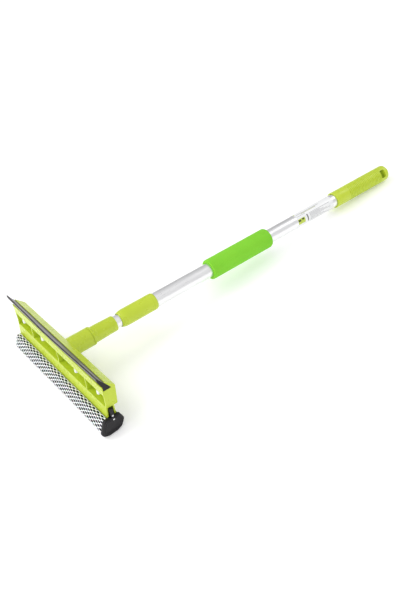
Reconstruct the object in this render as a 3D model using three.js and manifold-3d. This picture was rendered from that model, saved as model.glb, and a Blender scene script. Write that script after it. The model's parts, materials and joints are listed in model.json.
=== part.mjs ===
// A window cleaning pole: a squeegee blade and a net-covered sponge on one moulded head,
// screwed to a two-part telescopic pole with a twist lock, a foam sleeve and a ribbed end grip.
//
// The parts are drawn in the pole's own frame and in millimetres: X runs along the head,
// Y runs along the pole from the head (y = 0) to the end grip, and Z points up past the blade.
// The finished group is tipped about X until the sponge and the end grip stand on z = 0.

import * as THREE from 'three';
import { mergeVertices } from 'three/addons/utils/BufferGeometryUtils.js';
import Module from 'manifold-3d';

const wasm = await Module();
wasm.setup();

// ---- Driving dimensions (millimetres) ----------------------------------------------------

const HEAD_LENGTH = 200;          // length of the moulded head, blade and sponge
const GAP = 0.3;                  // clearance between pieces that touch

const BOX_TOP = 12;               // floor of the blade channel
const BOX_BOTTOM = -12.5;         // underside of the hollow box
const BOX_FRONT = -7.5;
const BOX_BACK_TOP = 8;
const BOX_BACK_BOTTOM = 6.1;
const WALL = 1.7;                 // wall thickness of the head moulding
const ROOF = 3;                   // thickness of the channel floor above the hollow
const WINDOW_TOP = 5.5;           // upper edge of the four front windows
const RIB_SPACING = 61;           // ribs between the windows stand at 0 and +/- this

const JAW_TIP = -27.6;            // lower edge of the two sponge jaws
const JAW_FRONT = -9.7;           // outer face of the front jaw at its tip
const JAW_BACK = 1.5;             // outer face of the back jaw
const CHANNEL_FRONT = -6.6;       // inner face of the front jaw at the box
const CHANNEL_FRONT_TIP = -8.0;   // inner face of the front jaw above its hook
const CHANNEL_BACK = -0.3;        // inner face of the back jaw
const HOOK_TOP = -25.7;           // upper face of the hooks on the jaw tips
const HOOK_HALF_GAP = 1.6;        // half of the slot between the hooks
const CARRIER_Y = -4;             // centre plane of the sponge carrier

const BLADE_TIP_Y = -11.6;        // the rubber blade leans forward to this line
const BLADE_TIP_Z = 33.6;
const PEG_PLACES = [-84, -38, 38, 84];
const PEG_Y = -4.2;

// The sponge's section, which sags forward: corners as [y, z, radius], from the front shoulder
// down, along the bottom and up the back.
const SPONGE_CORNERS = [
  [-16, -24.4, 3],
  [-22.4, -42.3, 4.5],
  [-12.2, -46.9, 9],
  [-4.8, -46.9, 7],
  [3.6, -41.9, 6],
  [7.7, -33.8, 4.5],
  [3.6, -24.6, 2.6],
];
const SPONGE_FOOT = { y: -7.2, z: -46.1 };  // a point of the flat on which the sponge rests
const NET_THICKNESS = 0.6;
const CAP_THICKNESS = 4.4;
const CAP_MARGIN = 0.5;           // how far the end cap stands out past the net
const ARM_FRONT = -6.4;           // the end cap's arm between the jaws
const ARM_BACK = -2.7;
const RIVET_Y = -4.6;
const RIVET_HEIGHTS = [-22.4, -27];

const NECK_RADIUS = 11.6;
const NECK_END = 36;
const SOCKET_RADIUS = 8.6;        // bore of the neck, threaded on the real piece
const ADAPTER_END = 70.3;
const INNER_TUBE_RADIUS = 7.9;
const INNER_TUBE_START = 44.3;
const INNER_TUBE_END = 432;
const TUBE_WALL = 0.7;
const COLLAR_START = 77;
const COLLAR_END = 128.7;
const COLLAR_RADIUS = 10.75;
const OUTER_TUBE_RADIUS = 9.4;
const OUTER_TUBE_START = 98;
const OUTER_TUBE_END = 532;
const FOAM_START = 214.4;
const FOAM_END = 315.4;
const FOAM_RADIUS = 13.5;
const LABEL_START = 366;
const LABEL_END = 434;
const GRIP_START = 442;
const GRIP_END = 551;
const GRIP_RADIUS = 11.2;
const GRIP_FOOT = 546;            // the full radius ends here, and the grip stands on it
const RIB_PITCH = 2.95;
const RIB_COUNT = 23;
const RIB_HEIGHT = 0.5;
const RIBS_START = 467;
const HANG_SLOT = { y: 538.2, along: 8, across: 11.6, turn: 57 };

const ROUND = 32;                 // sides of the turned parts
const SMALL_ROUND = 16;           // sides of pegs and rivets

// ---- Materials ---------------------------------------------------------------------------

const finish = (color, roughness, metalness = 0) =>
  new THREE.MeshStandardMaterial({ color, roughness, metalness });

const LIME = finish(0xbdd13a, 0.4);
const FOAM_GREEN = finish(0x86d14a, 0.85);
const ALUMINIUM = finish(0xdfe0e3, 0.3, 0.9);
const BLACK_PLASTIC = finish(0x2c2a2e, 0.5);
const RUBBER = finish(0x3a383b, 0.6);
const WHITE_PLASTIC = finish(0xf2f2ee, 0.5);
const SPONGE_GREY = finish(0x3a3a3c, 0.95);
const NET_WHITE = finish(0xf4f4f6, 0.8);
const LABEL_FILM = finish(0xe8e9ea, 0.35);
const STEEL = finish(0xc9cacc, 0.3, 1);

// ---- Solids ------------------------------------------------------------------------------

// The closed solid that a three.js geometry encloses, with its faces turned outward.
function solid(geometry) {
  geometry.deleteAttribute('normal');
  geometry.deleteAttribute('uv');
  const merged = mergeVertices(geometry, 1e-4);
  const vertProperties = new Float32Array(merged.attributes.position.array);
  const corners = [];
  for (let i = 0; i < merged.index.count; i += 3) {
    const [a, b, c] = [0, 1, 2].map((k) => merged.index.getX(i + k));
    if (a !== b && b !== c && c !== a) corners.push(a, b, c);
  }
  const point = (i) => new THREE.Vector3().fromArray(vertProperties, 3 * i);
  let volume = 0;
  for (let i = 0; i < corners.length; i += 3) {
    volume += point(corners[i]).dot(point(corners[i + 1]).cross(point(corners[i + 2])));
  }
  if (volume < 0) corners.reverse();
  const triVerts = new Uint32Array(corners);
  return new wasm.Manifold(new wasm.Mesh({ numProp: 3, vertProperties, triVerts }));
}

// A prism along X from x0 to x1, whose section is a closed outline of [y, z] points.
function prismX(outline, x0, x1) {
  const shape = new THREE.Shape(outline.map(([y, z]) => new THREE.Vector2(y, z)));
  const geometry = new THREE.ExtrudeGeometry(shape, { depth: x1 - x0, bevelEnabled: false });
  const yAxis = new THREE.Vector3(0, 1, 0);
  const zAxis = new THREE.Vector3(0, 0, 1);
  const xAxis = new THREE.Vector3(1, 0, 0);
  geometry.applyMatrix4(new THREE.Matrix4().makeBasis(yAxis, zAxis, xAxis));
  geometry.translate(x0, 0, 0);
  return solid(geometry);
}

// A solid turned about the pole's axis from [radius, y] points.
// The profile starts and ends on the axis, or closes on itself.
function turned(profile, sides = ROUND) {
  const onAxis = profile[0][0] === 0;
  const closed = onAxis ? profile : [...profile, profile[0]];
  const points = closed.map(([r, y]) => new THREE.Vector2(r, y));
  return solid(new THREE.LatheGeometry(points, sides));
}

function block(x0, x1, y0, y1, z0, z1) {
  const geometry = new THREE.BoxGeometry(x1 - x0, y1 - y0, z1 - z0);
  geometry.translate((x0 + x1) / 2, (y0 + y1) / 2, (z0 + z1) / 2);
  return solid(geometry);
}

// A plain rod along X through [y, z].
function rodX(radius, x0, x1, [y, z]) {
  const geometry = new THREE.CylinderGeometry(radius, radius, x1 - x0, SMALL_ROUND);
  geometry.rotateZ(Math.PI / 2);
  geometry.translate((x0 + x1) / 2, y, z);
  return solid(geometry);
}

// A plain rod along Z through [x, y].
function rodZ(radius, z0, z1, [x, y]) {
  const geometry = new THREE.CylinderGeometry(radius, radius, z1 - z0, SMALL_ROUND);
  geometry.rotateX(Math.PI / 2);
  geometry.translate(x, y, (z0 + z1) / 2);
  return solid(geometry);
}

const group = new THREE.Group();

// Adds a solid to the object as a named mesh.
function addPiece(name, piece, material) {
  const { vertProperties, triVerts } = piece.getMesh();
  const geometry = new THREE.BufferGeometry();
  geometry.setAttribute('position', new THREE.BufferAttribute(new Float32Array(vertProperties), 3));
  geometry.setIndex(new THREE.BufferAttribute(new Uint32Array(triVerts), 1));
  geometry.computeVertexNormals();
  const mesh = new THREE.Mesh(geometry, material);
  mesh.name = name;
  group.add(mesh);
}

// ---- Resting attitude --------------------------------------------------------------------

// The sponge's flat and the end grip's lower edge lie in one plane, which slopes in the
// pole's frame and becomes the floor once the group is tipped.
const FLOOR_SLOPE = (-GRIP_RADIUS - SPONGE_FOOT.z) / (GRIP_FOOT - SPONGE_FOOT.y);
const TIP_ANGLE = -Math.atan(FLOOR_SLOPE);
const floorAt = (y) => SPONGE_FOOT.z + FLOOR_SLOPE * (y - SPONGE_FOOT.y);

// Everything under the floor plane near the head, to trim the sponge, net and cap.
function belowFloor(lift) {
  const near = -60;
  const far = 60;
  const outline = [
    [near, floorAt(near) + lift],
    [near, -100],
    [far, -100],
    [far, floorAt(far) + lift],
  ];
  return prismX(outline, -HEAD_LENGTH, HEAD_LENGTH);
}

// ---- Head moulding -----------------------------------------------------------------------

const END = HEAD_LENGTH / 2;

// Slope of the blade's back flank, which the back lip of the channel follows.
const FLANK_FOOT = 3.1;
const FLANK_LEAN = (FLANK_FOOT - BLADE_TIP_Y - 1.2) / (BLADE_TIP_Z - BOX_TOP);
const flankAt = (z) => FLANK_FOOT - FLANK_LEAN * (z - BOX_TOP);

function headOutline() {
  const lipTop = 23;
  const frontLipTop = 18.4;
  return [
    [BOX_FRONT, BOX_TOP],
    [BOX_FRONT - 0.7, frontLipTop],
    [BOX_FRONT + 0.6, frontLipTop + 0.2],
    [BOX_FRONT + 1.0, BOX_TOP],
    [flankAt(BOX_TOP) + GAP, BOX_TOP],
    [flankAt(lipTop) + GAP, lipTop],
    [flankAt(lipTop) + 0.9, lipTop + 0.4],
    [BOX_BACK_TOP, BOX_TOP + 0.8],
    [BOX_BACK_BOTTOM, BOX_BOTTOM],
    [JAW_BACK, BOX_BOTTOM],
    [JAW_BACK - 0.2, JAW_TIP],
    [CARRIER_Y + HOOK_HALF_GAP, JAW_TIP],
    [CARRIER_Y + HOOK_HALF_GAP, HOOK_TOP],
    [CHANNEL_BACK, HOOK_TOP],
    [CHANNEL_BACK, BOX_BOTTOM],
    [CHANNEL_FRONT, BOX_BOTTOM],
    [CHANNEL_FRONT_TIP, HOOK_TOP],
    [CARRIER_Y - HOOK_HALF_GAP, HOOK_TOP],
    [CARRIER_Y - HOOK_HALF_GAP, JAW_TIP],
    [JAW_FRONT, JAW_TIP],
    [BOX_FRONT, -6],
  ];
}

// One hollow cell of the box with its front window.
function cell(x0, x1) {
  const floor = BOX_BOTTOM + WALL;
  const roof = BOX_TOP - ROOF;
  const hollow = prismX([
    [BOX_FRONT + WALL, floor],
    [BOX_BACK_BOTTOM - WALL, floor],
    [BOX_BACK_TOP - WALL - 0.4, roof],
    [BOX_FRONT + WALL, roof],
  ], x0, x1);
  const window = block(x0, x1, BOX_FRONT - 5, BOX_FRONT + WALL + 1, floor, WINDOW_TOP);
  return hollow.add(window);
}

function neck() {
  return turned([
    [0, 6.2],
    [NECK_RADIUS + 0.9, 6.2],
    [NECK_RADIUS + 0.3, 10],
    [NECK_RADIUS, 14],
    [NECK_RADIUS, NECK_END],
    [SOCKET_RADIUS, NECK_END],
    [SOCKET_RADIUS, 14],
    [0, 14],
  ]);
}

function headFrame() {
  let frame = prismX(headOutline(), -END, END).add(neck());
  const half = WALL / 2;
  const walls = [-END + WALL - half, -RIB_SPACING, 0, RIB_SPACING, END - WALL + half];
  for (let i = 0; i + 1 < walls.length; i += 1) {
    frame = frame.subtract(cell(walls[i] + half, walls[i + 1] - half));
  }
  for (const x of PEG_PLACES) {
    frame = frame.subtract(rodZ(1.5, BOX_TOP - ROOF - 1, BOX_TOP + 1, [x, PEG_Y]));
  }
  return frame;
}

// ---- Blade -------------------------------------------------------------------------------

function blade() {
  const foot = BOX_TOP + GAP;
  const profile = [
    [BOX_FRONT + 1.35, foot],
    [flankAt(foot), foot],
    [flankAt(BLADE_TIP_Z), BLADE_TIP_Z],
    [BLADE_TIP_Y, BLADE_TIP_Z - 0.6],
    [-10.6, 27.5],
    [-8.1, 21.8],
    [BOX_FRONT + 1.2, 18.9],
    [BOX_FRONT + 1.2, 18],
  ];
  let rubber = prismX(profile, -END - 0.6, END);
  for (const x of PEG_PLACES) {
    rubber = rubber.subtract(rodZ(1.5, foot - 1, foot + 3.6, [x, PEG_Y]));
  }
  return rubber;
}

// A white peg that pins the rubber from below, with its head in the window.
function bladePeg(x) {
  const head = rodZ(2.4, -2.2, 3.2, [x, PEG_Y - 0.6]);
  const shank = rodZ(1.2, 2.2, BOX_TOP + 3.4, [x, PEG_Y]);
  return head.add(shank);
}

// ---- Sponge cartridge --------------------------------------------------------------------

// Section of the sponge: a polygon with round corners, pushed out by margin.
function spongeOutline(margin, steps = 6) {
  const count = SPONGE_CORNERS.length;
  const place = (i) => new THREE.Vector2(...SPONGE_CORNERS[i % count]);
  return SPONGE_CORNERS.flatMap(([, , radius], i) => {
    const corner = place(i);
    const back = place(i + count - 1).sub(corner).normalize();
    const ahead = place(i + 1).sub(corner).normalize();
    const half = Math.acos(back.dot(ahead)) / 2;
    const centre = back.clone().add(ahead).setLength(radius / Math.sin(half)).add(corner);
    const start = back.setLength(radius / Math.tan(half)).add(corner).sub(centre).angle();
    const sweep = Math.PI - 2 * half;
    return Array.from({ length: steps + 1 }, (_, k) => {
      const angle = start + (sweep * k) / steps;
      const reach = radius + margin;
      return [centre.x + reach * Math.cos(angle), centre.y + reach * Math.sin(angle)];
    });
  });
}

const CARRIER_FLANGE_TOP = JAW_TIP - GAP;
const CARRIER_FLANGE_BOTTOM = CARRIER_FLANGE_TOP - 3.6;

// The trench in the top of the sponge for the jaws and for the carrier's lower flange.
function jawTrench() {
  return block(
    -HEAD_LENGTH, HEAD_LENGTH,
    JAW_FRONT - 0.4, JAW_BACK + 0.4,
    CARRIER_FLANGE_BOTTOM - GAP, 0,
  );
}

function spongeCore() {
  const inset = -NET_THICKNESS - GAP;
  return prismX(spongeOutline(inset), -END + 0.5, END)
    .subtract(jawTrench())
    .subtract(belowFloor(NET_THICKNESS + GAP));
}

// The net sleeve: open along the jaws and at the capped end, closed by a seam at the other.
function spongeNet() {
  const inside = prismX(spongeOutline(-NET_THICKNESS), -END + 0.2, END + 1)
    .subtract(belowFloor(NET_THICKNESS));
  return prismX(spongeOutline(0), -END - 0.6, END)
    .subtract(inside)
    .subtract(jawTrench())
    .subtract(belowFloor(0));
}

// The strip that carries the sponge: a head above the hooks, a web and a buried flange.
function spongeCarrier() {
  const outline = [
    [CARRIER_Y - 3.2, HOOK_TOP + GAP],
    [CARRIER_Y - 1.2, HOOK_TOP + GAP],
    [CARRIER_Y - 1.2, CARRIER_FLANGE_TOP],
    [CARRIER_Y - 5.4, CARRIER_FLANGE_TOP],
    [CARRIER_Y - 5.4, CARRIER_FLANGE_BOTTOM],
    [CARRIER_Y + 5.4, CARRIER_FLANGE_BOTTOM],
    [CARRIER_Y + 5.4, CARRIER_FLANGE_TOP],
    [CARRIER_Y + 1.2, CARRIER_FLANGE_TOP],
    [CARRIER_Y + 1.2, HOOK_TOP + GAP],
    [CARRIER_Y + 3.2, HOOK_TOP + GAP],
    [CARRIER_Y + 3.2, HOOK_TOP + 4.9],
    [CARRIER_Y - 3.0, HOOK_TOP + 4.9],
  ];
  let strip = prismX(outline, -END + 1, END - 2);
  for (const z of RIVET_HEIGHTS) {
    strip = strip.subtract(rodX(1.0, END - 10, END, [RIVET_Y, z]));
  }
  return strip;
}

// The black end cap: a rounded plate over the sponge and an arm up between the jaws.
function endCap() {
  const inner = END + GAP;
  const outer = inner + CAP_THICKNESS;
  const plate = prismX(spongeOutline(CAP_MARGIN), inner, outer)
    .subtract(belowFloor(0.1));
  const arm = block(inner, outer - 1.2, ARM_FRONT, ARM_BACK, JAW_TIP - 4, BOX_BOTTOM - GAP);
  const plug = block(END - 1.7, inner + 1, ARM_FRONT, ARM_BACK, HOOK_TOP + GAP, BOX_BOTTOM - GAP);
  let cap = plate.add(arm).add(plug);
  for (const z of RIVET_HEIGHTS) {
    cap = cap.subtract(rodX(1.0, END - 5, outer + 1, [RIVET_Y, z]));
  }
  return cap;
}

function capRivet(z) {
  const face = END + GAP + CAP_THICKNESS;
  const head = rodX(1.6, face + GAP, face + 1.0, [RIVET_Y, z]);
  const shank = rodX(0.7, END - 9, face + 0.7, [RIVET_Y, z]);
  return head.add(shank);
}

// ---- Pole --------------------------------------------------------------------------------

// The adapter that screws into the neck and is pressed on the inner tube.
function poleAdapter() {
  return turned([
    [0, 17],
    [SOCKET_RADIUS - 1.1, 17],
    [SOCKET_RADIUS - GAP, 18.5],
    [SOCKET_RADIUS - GAP, NECK_END + GAP],
    [NECK_RADIUS, NECK_END + GAP],
    [NECK_RADIUS, NECK_END + 2.6],
    [10.3, NECK_END + 4],
    [9.6, ADAPTER_END - 0.5],
    [9.2, ADAPTER_END],
    [INNER_TUBE_RADIUS + GAP, ADAPTER_END],
    [INNER_TUBE_RADIUS + GAP, INNER_TUBE_START - GAP],
    [0, INNER_TUBE_START - GAP],
  ]);
}

const tube = (radius, start, end) => turned([
  [radius - TUBE_WALL, start],
  [radius, start],
  [radius, end],
  [radius - TUBE_WALL, end],
]);

// The lock collar, fixed on the mouth of the outer tube.
function lockCollar() {
  const bore = INNER_TUBE_RADIUS + 0.4;
  const seat = OUTER_TUBE_RADIUS + 0.35;
  const seatStart = 83;
  return turned([
    [bore, COLLAR_START],
    [bore + 0.5, COLLAR_START],
    [10.2, COLLAR_START + 4.5],
    [COLLAR_RADIUS, COLLAR_START + 9],
    [COLLAR_RADIUS, COLLAR_END - 6.6],
    [COLLAR_RADIUS - 0.3, COLLAR_END - 6],
    [COLLAR_RADIUS, COLLAR_END - 5.4],
    [10.45, COLLAR_END - 1],
    [10.0, COLLAR_END],
    [seat, COLLAR_END],
    [seat, seatStart],
    [bore, seatStart],
  ]);
}

// A nylon ring in the collar that guides the inner tube and stops it from pulling out.
function guideBush() {
  return turned([
    [INNER_TUBE_RADIUS + GAP, 83.3],
    [OUTER_TUBE_RADIUS + 0.05, 83.3],
    [OUTER_TUBE_RADIUS + 0.05, OUTER_TUBE_START - GAP],
    [INNER_TUBE_RADIUS + GAP, OUTER_TUBE_START - GAP],
  ]);
}

// The stud in the end of the inner tube, with the rod that works the lock.
function lockStud() {
  const plugRadius = INNER_TUBE_RADIUS - TUBE_WALL - GAP;
  return turned([
    [0, INNER_TUBE_END - 20],
    [plugRadius, INNER_TUBE_END - 20],
    [plugRadius, INNER_TUBE_END + GAP],
    [INNER_TUBE_RADIUS - 0.1, INNER_TUBE_END + GAP],
    [INNER_TUBE_RADIUS - 0.1, INNER_TUBE_END + 3],
    [2.6, INNER_TUBE_END + 3],
    [2.6, INNER_TUBE_END + 49],
    [4.2, INNER_TUBE_END + 49],
    [4.2, INNER_TUBE_END + 52],
    [0, INNER_TUBE_END + 52],
  ], SMALL_ROUND * 1.5);
}

const SLEEVE_START = INNER_TUBE_END + 6;
const SLEEVE_END = SLEEVE_START + 24;
const SLEEVE_BORE = 3.1;
const CONE_MOUTH = 6.6;
const CONE_SEAT = 1.2;            // axial clearance that keeps the seated cone off the sleeve

// The split sleeve that the cone spreads against the outer tube.
function expanderSleeve() {
  const radius = OUTER_TUBE_RADIUS - TUBE_WALL - 0.35;
  const sleeve = turned([
    [SLEEVE_BORE, SLEEVE_START],
    [radius, SLEEVE_START],
    [radius, SLEEVE_END],
    [CONE_MOUTH, SLEEVE_END],
    [SLEEVE_BORE, SLEEVE_START + 12],
  ]);
  return sleeve.subtract(block(-0.8, 0.8, SLEEVE_START - 1, SLEEVE_END + 1, 0, 20));
}

// The cone nut on the stud's rod, seated in the sleeve as it is when the lock is turned home.
function coneNut() {
  const start = SLEEVE_START + 12 + CONE_SEAT;
  const end = SLEEVE_END + CONE_SEAT;
  return turned([
    [SLEEVE_BORE - 0.2, start],
    [SLEEVE_BORE + 0.3, start],
    [CONE_MOUTH, end],
    [CONE_MOUTH, end + 7],
    [SLEEVE_BORE - 0.2, end + 7],
  ], SMALL_ROUND * 1.5);
}

function foamGrip() {
  const bore = OUTER_TUBE_RADIUS + GAP;
  const corner = 3;
  const rounding = (y, side) => [0, 30, 60, 90].map((degrees) => {
    const angle = THREE.MathUtils.degToRad(degrees);
    const rise = corner * (1 - Math.cos(angle));
    return [FOAM_RADIUS - corner + corner * Math.sin(angle), y + side * rise];
  });
  return turned([
    [bore, FOAM_START],
    ...rounding(FOAM_START, 1),
    ...rounding(FOAM_END, -1).reverse(),
    [bore, FOAM_END],
  ]);
}

// The printed film wrapped round the outer tube.
function labelWrap() {
  const inner = OUTER_TUBE_RADIUS + GAP;
  return turned([
    [inner, LABEL_START],
    [inner + 0.2, LABEL_START],
    [inner + 0.2, LABEL_END],
    [inner, LABEL_END],
  ]);
}

// The end grip: a plain flange, a ribbed middle and a rounded end with a slot to hang it by.
function endGrip() {
  const bore = OUTER_TUBE_RADIUS + GAP;
  const ribs = [];
  for (let i = 0; i < RIB_COUNT; i += 1) {
    const y = RIBS_START + i * RIB_PITCH;
    ribs.push([GRIP_RADIUS, y], [GRIP_RADIUS - RIB_HEIGHT, y + RIB_PITCH / 2]);
  }
  const body = turned([
    [bore, GRIP_START],
    [GRIP_RADIUS, GRIP_START],
    ...ribs,
    [GRIP_RADIUS, RIBS_START + RIB_COUNT * RIB_PITCH],
    [GRIP_RADIUS, GRIP_FOOT],
    [GRIP_RADIUS - 0.9, GRIP_FOOT + 2.6],
    [GRIP_RADIUS - 2.8, GRIP_FOOT + 4.3],
    [GRIP_RADIUS - 5.0, GRIP_END],
    [0, GRIP_END],
    [0, OUTER_TUBE_END + GAP],
    [bore, OUTER_TUBE_END + GAP],
  ].reverse(), 24);
  const { y, along, across, turn } = HANG_SLOT;
  const slot = block(-across / 2, across / 2, y - along / 2, y + along / 2, -20, 20);
  return body.subtract(slot.rotate([0, turn, 0]));
}

// ---- Assembly ----------------------------------------------------------------------------

addPiece('head_frame', headFrame(), LIME);
addPiece('squeegee_blade', blade(), RUBBER);
PEG_PLACES.forEach((x, i) => addPiece(`blade_peg_${i + 1}`, bladePeg(x), WHITE_PLASTIC));
addPiece('sponge_core', spongeCore(), SPONGE_GREY);
addPiece('sponge_net', spongeNet(), NET_WHITE);
addPiece('sponge_carrier', spongeCarrier(), BLACK_PLASTIC);
addPiece('end_cap', endCap(), BLACK_PLASTIC);
RIVET_HEIGHTS.forEach((z, i) => addPiece(`cap_rivet_${i + 1}`, capRivet(z), STEEL));
addPiece('pole_adapter', poleAdapter(), LIME);
addPiece('inner_tube', tube(INNER_TUBE_RADIUS, INNER_TUBE_START, INNER_TUBE_END), ALUMINIUM);
addPiece('lock_stud', lockStud(), WHITE_PLASTIC);
addPiece('expander_sleeve', expanderSleeve(), WHITE_PLASTIC);
addPiece('cone_nut', coneNut(), WHITE_PLASTIC);
addPiece('guide_bush', guideBush(), WHITE_PLASTIC);
addPiece('lock_collar', lockCollar(), LIME);
addPiece('outer_tube', tube(OUTER_TUBE_RADIUS, OUTER_TUBE_START, OUTER_TUBE_END), ALUMINIUM);
addPiece('foam_grip', foamGrip(), FOAM_GREEN);
addPiece('label_wrap', labelWrap(), LABEL_FILM);
addPiece('end_grip', endGrip(), LIME);

// Tip the object on its feet, and put the origin under the middle of its box.
group.rotation.x = TIP_ANGLE;
const box = new THREE.Box3().setFromObject(group, true);
const middle = box.getCenter(new THREE.Vector3());
group.position.set(-middle.x, -middle.y, -box.min.z);

export default group;
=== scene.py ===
"""The looks of a window cleaning pole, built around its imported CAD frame.

Pieces are drawn in the pole's own frame and in millimetres, as the CAD is: X along the head,
Y along the pole from the head to the end grip, Z up past the squeegee blade. `POLE` carries
them into the row frame in metres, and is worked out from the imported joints.
"""

import json
import math

import bmesh
import bpy
from mathutils import Matrix, Vector, noise


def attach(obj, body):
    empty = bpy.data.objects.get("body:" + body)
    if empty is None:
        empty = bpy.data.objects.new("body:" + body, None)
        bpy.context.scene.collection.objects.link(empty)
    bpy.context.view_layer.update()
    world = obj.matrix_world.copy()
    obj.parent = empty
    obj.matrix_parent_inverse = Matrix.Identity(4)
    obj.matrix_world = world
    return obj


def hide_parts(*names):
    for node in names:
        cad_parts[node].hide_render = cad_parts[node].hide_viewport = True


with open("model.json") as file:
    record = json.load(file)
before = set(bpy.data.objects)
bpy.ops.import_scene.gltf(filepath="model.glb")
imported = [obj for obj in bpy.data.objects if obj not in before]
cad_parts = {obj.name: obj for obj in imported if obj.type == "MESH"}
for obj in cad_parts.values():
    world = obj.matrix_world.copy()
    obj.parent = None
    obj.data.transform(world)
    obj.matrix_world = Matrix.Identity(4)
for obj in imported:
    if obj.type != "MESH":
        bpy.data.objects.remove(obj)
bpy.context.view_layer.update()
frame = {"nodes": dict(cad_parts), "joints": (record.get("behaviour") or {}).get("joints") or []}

MM = 0.001

# ---- The pole's frame --------------------------------------------------------------------

JOINTS = {joint["name"]: joint for joint in frame["joints"]}
AXIS = -Vector(JOINTS["pole_extend"]["axis"]).normalized()
TWIST_STATION = 450.0        # the twist joint's place on the axis, from the head's middle
ORIGIN = Vector(JOINTS["twist_lock"]["pos_m"]) - AXIS * TWIST_STATION * MM
SIDE = Vector((1, 0, 0))
RISE = SIDE.cross(AXIS)
TURN = Matrix((SIDE, AXIS, RISE)).transposed()
POLE = Matrix.Translation(ORIGIN) @ TURN.to_4x4() @ Matrix.Scale(MM, 4)
POLE_INVERSE = POLE.inverted()
FLOOR_SLOPE = -AXIS.z / RISE.z       # the floor's slope in the pole's frame

# ---- Sizes, in millimetres ---------------------------------------------------------------

# Head: a hollow box with four front windows, a channel for the rubber on it and jaws below it.
END = 100.0                  # half of the head's length
BOX_TOP, BOX_BOTTOM = 12.0, -12.5
BOX_FRONT, BOX_BACK_TOP, BOX_BACK_BOTTOM = -7.5, 8.0, 6.1
WALL, ROOF = 1.7, 3.0
WINDOW_TOP = 5.5
RIB_SPACING = 61.0
FRONT_LIP_TOP, BACK_LIP_TOP = 18.4, 23.0
JAW_TIP, JAW_FRONT, JAW_BACK = -27.6, -9.7, 1.5
CHANNEL_FRONT, CHANNEL_FRONT_TIP, CHANNEL_BACK = -6.6, -8.0, -0.3
HOOK_TOP, HOOK_HALF_GAP = -25.7, 1.6
CARRIER_Y = -4.0
NECK_RADIUS, NECK_START, NECK_END, NECK_FLARE = 11.6, 5.9, 36.0, 2.6
SOCKET_RADIUS, SOCKET_FLOOR = 8.6, 14.0

# Rubber blade.
BLADE_TIP_Y, BLADE_TIP_Z = -11.6, 33.6
BLADE_EDGE = 1.2             # thickness of the wiping edge
BLADE_FREE = 22.0            # above this height the rubber can bend
BLADE_BOW = 1.6              # how far the middle of the wiping edge leans forward
BLADE_WAVE = 0.28            # how far the wiping edge wanders from a smooth line
FLANK_FOOT = 3.1
FLANK_LEAN = (FLANK_FOOT - BLADE_TIP_Y - BLADE_EDGE) / (BLADE_TIP_Z - BOX_TOP)

# Sponge: its section's corners are (y, z, radius), from the front shoulder down and round.
SPONGE_CORNERS = [
    (-16.0, -24.4, 3.0),
    (-22.4, -42.3, 4.5),
    (-12.2, -46.9, 9.0),
    (-4.8, -46.9, 7.0),
    (3.6, -41.9, 6.0),
    (7.7, -33.8, 4.5),
    (3.6, -24.6, 2.6),
]
SPONGE_MIDDLE = Vector((-7.2, -35.2))
SPONGE_FOOT_Y, SPONGE_FOOT_Z = -7.2, -46.1
TRENCH_FRONT, TRENCH_BACK = JAW_FRONT - 0.4, JAW_BACK + 0.4    # walls beside the jaws
WRAP_SPACING = 0.4           # between the points of a line round the sponge
WANDER, WANDER_MEAN = 0.5, -0.32     # the soft surface's unevenness, and its mean lift
FOAM_DEPTH, FOAM_TUCK = 1.35, 4.0    # inside the CAD surface, and down the trench
FOAM_BULGE, FOAM_GRAIN = 0.45, 0.05  # into each hole of the net, and the skin's roughness
FOAM_ACROSS, FOAM_ALONG = 210, 330   # divisions of the foam's surface
FOAM_LEVEL, NET_LEVEL = 1.9, 0.8     # nearer than this to the floor they don't wander

# Net.
NET_PITCH = 8.5              # holes along a row; every second row is half a pitch along
NET_ROW = 2.42               # mean height of a row
NET_STRETCH = 0.22           # rows are closer at the jaws and wider below by this share
NET_DEPTH, NET_TUCK = 0.34, 2.0      # the strands' middle, measured as for the foam
HOLE_HALF = 2.8              # half of a hole's length
HOLE_RISE = 0.66             # half of a hole's height, in rows
HOLE_SQUARENESS = 1.6        # 1 is a diamond and 2 an ellipse
HOLE_COLUMNS = 13            # on each side of the head's middle
STRAND_CREST, HOLE_DIP = 0.08, -0.05     # lift of a strand's middle and of a hole's edge
STRAND_THICKNESS = 0.5
NET_RIGHT = 99.9             # the net ends here, at the cap
NET_LEFT = -END + 1.6        # the net turns in over the sponge's end here
NET_TURN = 2.2               # radius of that turn
END_CENTRE = Vector((-7.7, -36.2))   # the closed end is gathered to a short line through here
END_SPREAD = 0.55            # that line's share of the section's width

# Cap, its arm and its rivets.
CAP_START, CAP_THICKNESS, CAP_MARGIN = 100.3, 4.4, 0.5
CAP_HALF = 13.0              # drawn in by this much, the cap's outline would be a point
CAP_FACE = CAP_START + CAP_THICKNESS
ARM_FRONT, ARM_BACK = -6.4, -2.7
ARM_DROP = 1.2               # the arm's front lies this far behind the cap's face
RIVET_Y = -4.6
RIVETS = ((-22.4, ARM_DROP), (-27.0, 0.4))     # height, and depth of its seat from CAP_FACE
RIVET_RADIUS, RIVET_DOME, SHANK_RADIUS, SHANK_START = 1.25, 0.6, 0.7, END - 9.0

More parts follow.
